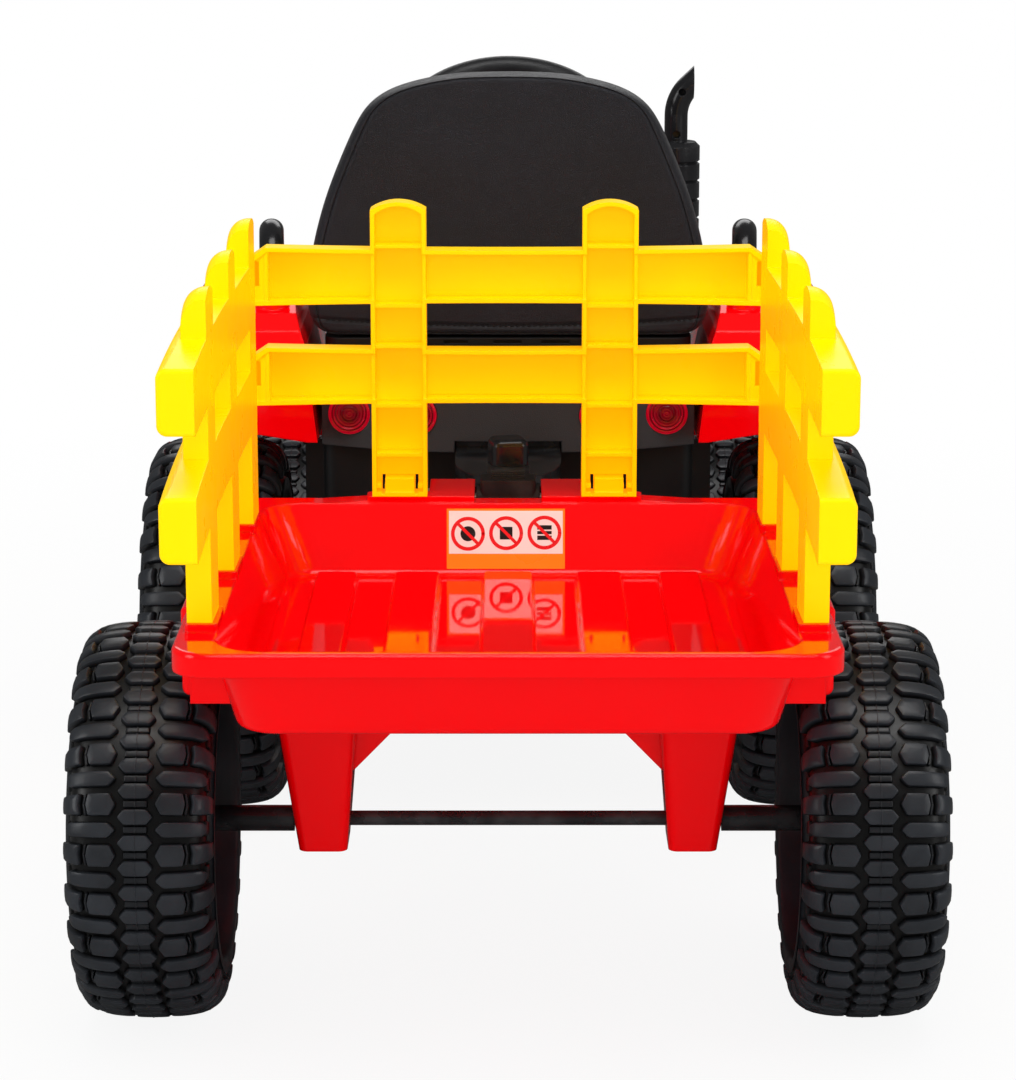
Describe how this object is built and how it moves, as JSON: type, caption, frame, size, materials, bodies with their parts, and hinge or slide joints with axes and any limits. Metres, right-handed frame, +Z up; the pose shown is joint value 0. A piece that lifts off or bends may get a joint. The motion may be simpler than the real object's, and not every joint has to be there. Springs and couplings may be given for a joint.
{
  "type": "ride-on toy tractor with trailer",
  "caption": "Child's electric ride-on tractor with treaded wheels, upholstered seat, steering wheel and exhaust stack, towing a shallow tub trailer with slatted fences.",
  "frame": {"origin": "on the ground under the middle of the tractor's rear axle, which is also the centre of the whole outfit's length and width", "axes": "+Y forwards (the way the tractor drives), +Z up, +X to the driver's right"},
  "size_m": [0.553, 1.3601, 0.573],
  "materials": {
    "red_shell": "gloss moulded",
    "yellow_plastic": "gloss moulded",
    "black_plastic": "fine grained",
    "black_gloss": "gloss moulded",
    "grey_panel": "fine grained matt",
    "tyre_black": "moulded plastic tyre, satin",
    "seat_leather": "grained imitation leather",
    "tail_lens": "gloss tinted lens",
    "clear_lens": "clear lens",
    "black_steel": "black coated steel",
    "bright_steel": "zinc plated",
    "gear_nylon": "nylon",
    "battery_case": "matt",
    "control_case": "matt",
    "button_plastic": "gloss moulded"
  },
  "bodies": {
    "tractor": {"chassis": "black_plastic", "rear_cover": "grey_panel", "tail_light_lenses": "tail_lens", "fender_left": "red_shell", "fender_right": "red_shell", "grab_handle_left": "black_gloss", "grab_handle_right": "black_gloss", "seat_shell": "black_plastic", "seat_cushion": "seat_leather", "seat_back_cushion": "seat_leather", "hood": "red_shell", "grille": "black_gloss", "headlight_lenses": "clear_lens", "front_bumper": "black_plastic", "dashboard": "black_plastic", "exhaust_stack": "black_gloss", "tow_hitch": "black_gloss", "rear_axle": "bright_steel", "rear_axle_nuts": "bright_steel", "gearboxes": "gear_nylon", "drive_motors": "bright_steel", "battery": "battery_case", "control_box": "control_case", "speaker": "control_case", "front_axle_beam": "black_steel", "body_fasteners": "bright_steel"},
    "rear_wheel_left": {"rear_tyre_left": "tyre_black", "rear_hub_left": "yellow_plastic", "drive_gear_left": "gear_nylon"},
    "rear_wheel_right": {"rear_tyre_right": "tyre_black", "rear_hub_right": "yellow_plastic", "drive_gear_right": "gear_nylon"},
    "front_knuckle_left": {"steering_knuckle_left": "bright_steel"},
    "front_knuckle_right": {"steering_knuckle_right": "bright_steel"},
    "front_wheel_left": {"front_tyre_left": "tyre_black", "front_hub_left": "yellow_plastic"},
    "front_wheel_right": {"front_tyre_right": "tyre_black", "front_hub_right": "yellow_plastic"},
    "steering_link": {"tie_rod": "black_steel"},
    "steering": {"steering_shaft": "bright_steel", "steering_wheel": "black_plastic"},
    "horn": {"horn_button": "button_plastic"},
    "accelerator": {"pedal": "black_plastic"},
    "shifter": {"gear_lever": "button_plastic"},
    "power_switch": {"power_button": "button_plastic"},
    "coupling_pin": {"hitch_pin": "black_gloss"},
    "towing_arm": {"drawbar": "black_plastic"},
    "trailer": {"trailer_tub": "red_shell", "fork_bolt": "bright_steel", "axle_supports": "red_shell", "fence_front": "yellow_plastic", "fence_left": "yellow_plastic", "fence_right": "yellow_plastic", "trailer_axle": "black_steel", "axle_sleeves": "black_gloss", "trailer_axle_nuts": "bright_steel"},
    "trailer_wheel_left": {"trailer_tyre_left": "tyre_black", "trailer_hub_left": "yellow_plastic"},
    "trailer_wheel_right": {"trailer_tyre_right": "tyre_black", "trailer_hub_right": "yellow_plastic"}
  },
  "joints": [
    {"name": "rear_wheel_left_spin", "type": "hinge", "parent": "tractor", "child": "rear_wheel_left", "pos_m": [-0.222, 0, 0.145], "axis": [1, 0, 0], "continuous": true},
    {"name": "rear_wheel_right_spin", "type": "hinge", "parent": "tractor", "child": "rear_wheel_right", "pos_m": [0.222, 0, 0.145], "axis": [1, 0, 0], "continuous": true},
    {"name": "steering_turn", "type": "hinge", "parent": "tractor", "child": "steering", "pos_m": [0, 0.3, 0.488], "axis": [0, -0.6216, 0.7833], "range_deg": [-35, 35]},
    {"name": "front_steer_left", "type": "hinge", "parent": "tractor", "child": "front_knuckle_left", "pos_m": [-0.14, 0.49, 0.12], "axis": [0, 0, 1], "range_deg": [-25, 25]},
    {"name": "front_steer_right", "type": "hinge", "parent": "tractor", "child": "front_knuckle_right", "pos_m": [0.14, 0.49, 0.12], "axis": [0, 0, 1], "range_deg": [-25, 25]},
    {"name": "tie_rod_slide", "type": "slide", "parent": "tractor", "child": "steering_link", "axis": [1, 0, 0], "range_m": [-0.016, 0.016]},
    {"name": "front_wheel_left_spin", "type": "hinge", "parent": "front_knuckle_left", "child": "front_wheel_left", "pos_m": [-0.1975, 0.49, 0.105], "axis": [1, 0, 0], "continuous": true},
    {"name": "front_wheel_right_spin", "type": "hinge", "parent": "front_knuckle_right", "child": "front_wheel_right", "pos_m": [0.1975, 0.49, 0.105], "axis": [1, 0, 0], "continuous": true},
    {"name": "horn_press", "type": "slide", "parent": "steering", "child": "horn", "axis": [0, 0.6216, -0.7833], "range_m": [0, 0.002]},
    {"name": "pedal_press", "type": "hinge", "parent": "tractor", "child": "accelerator", "pos_m": [0.132, 0.255, 0.118], "axis": [-1, 0, 0], "range_deg": [0, 12]},
    {"name": "gear_shift", "type": "hinge", "parent": "tractor", "child": "shifter", "pos_m": [0.07, 0.34, 0.445], "axis": [1, 0, 0], "range_deg": [-15, 15]},
    {"name": "power_press", "type": "slide", "parent": "tractor", "child": "power_switch", "axis": [0, 0, -1], "range_m": [0, 0.0025]},
    {"name": "hitch_pin_lift", "type": "slide", "parent": "tractor", "child": "coupling_pin", "axis": [0, 0, 1], "range_m": [0, 0.045]},
    {"name": "hitch_yaw", "type": "hinge", "parent": "tractor", "child": "towing_arm", "pos_m": [0, -0.151, 0.287], "axis": [0, 0, 1], "range_deg": [-30, 30]},
    {"name": "drawbar_pitch", "type": "hinge", "parent": "towing_arm", "child": "trailer", "pos_m": [0, -0.203, 0.286], "axis": [1, 0, 0], "range_deg": [-8, 8]},
    {"name": "trailer_wheel_left_spin", "type": "hinge", "parent": "trailer", "child": "trailer_wheel_left", "pos_m": [-0.227, -0.451, 0.128], "axis": [1, 0, 0], "continuous": true},
    {"name": "trailer_wheel_right_spin", "type": "hinge", "parent": "trailer", "child": "trailer_wheel_right", "pos_m": [0.227, -0.451, 0.128], "axis": [1, 0, 0], "continuous": true}
  ],
  "couplings": [
    {"joint": "front_steer_left", "follows": "steering_turn", "ratio": 0.714},
    {"joint": "front_steer_right", "follows": "steering_turn", "ratio": 0.714},
    {"joint": "tie_rod_slide", "follows": "steering_turn", "m_per_rad": 0.0259}
  ]
}
